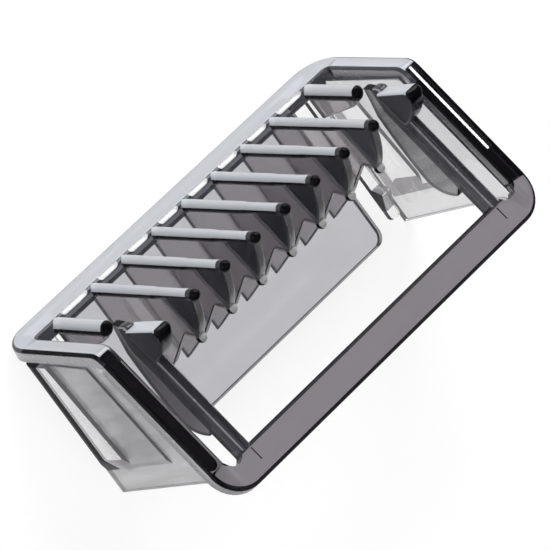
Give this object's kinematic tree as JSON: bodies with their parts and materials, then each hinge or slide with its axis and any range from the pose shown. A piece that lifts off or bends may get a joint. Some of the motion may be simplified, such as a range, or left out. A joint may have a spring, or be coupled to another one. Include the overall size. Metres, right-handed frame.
{
  "type": "trimmer guard comb",
  "caption": "Clear smoky click-on guard comb for a small hair trimmer: a bent frame with side walls, comb ribs, a flat back panel and sprung snap fingers.",
  "frame": {"origin": "centre of the bounding box in X and Y, at its lowest point in Z, which is the outer face of the back panel", "axes": "+X across the comb's width, towards its right side as seen from the comb side; +Y from the comb side to the open side where the trimmer head goes in; +Z away from the back panel. As in the picture the comb lies on its back panel"},
  "size_m": [0.04, 0.0184, 0.0148],
  "materials": {
    "smoky_clear_plastic": "polished clear polycarbonate with a light smoky grey tint"
  },
  "bodies": {
    "frame": {"front_band": "smoky_clear_plastic", "rear_bar": "smoky_clear_plastic", "left_side_bar": "smoky_clear_plastic", "right_side_bar": "smoky_clear_plastic", "back_panel": "smoky_clear_plastic", "left_side_wall": "smoky_clear_plastic", "right_side_wall": "smoky_clear_plastic", "left_wall_pad": "smoky_clear_plastic", "right_wall_pad": "smoky_clear_plastic", "left_guide_rail": "smoky_clear_plastic", "right_guide_rail": "smoky_clear_plastic", "left_cheek": "smoky_clear_plastic", "right_cheek": "smoky_clear_plastic", "comb_rib_1": "smoky_clear_plastic", "comb_rib_2": "smoky_clear_plastic", "comb_rib_3": "smoky_clear_plastic", "comb_rib_4": "smoky_clear_plastic", "comb_rib_5": "smoky_clear_plastic", "comb_rib_6": "smoky_clear_plastic", "comb_rib_7": "smoky_clear_plastic", "left_end_rib": "smoky_clear_plastic", "right_end_rib": "smoky_clear_plastic", "left_end_post": "smoky_clear_plastic", "right_end_post": "smoky_clear_plastic"},
    "left_finger": {"left_snap_finger": "smoky_clear_plastic"},
    "right_finger": {"right_snap_finger": "smoky_clear_plastic"}
  },
  "joints": [
    {"name": "left_finger_flex", "type": "hinge", "parent": "frame", "child": "left_finger", "pos_m": [-0.0164, -0.00772, 0.0009], "axis": [-1, 0, 0], "range_deg": [0, 3], "stiffness_Nm_per_rad": 0.006},
    {"name": "right_finger_flex", "type": "hinge", "parent": "frame", "child": "right_finger", "pos_m": [0.0164, -0.00772, 0.0009], "axis": [-1, 0, 0], "range_deg": [0, 3], "stiffness_Nm_per_rad": 0.006}
  ]
}
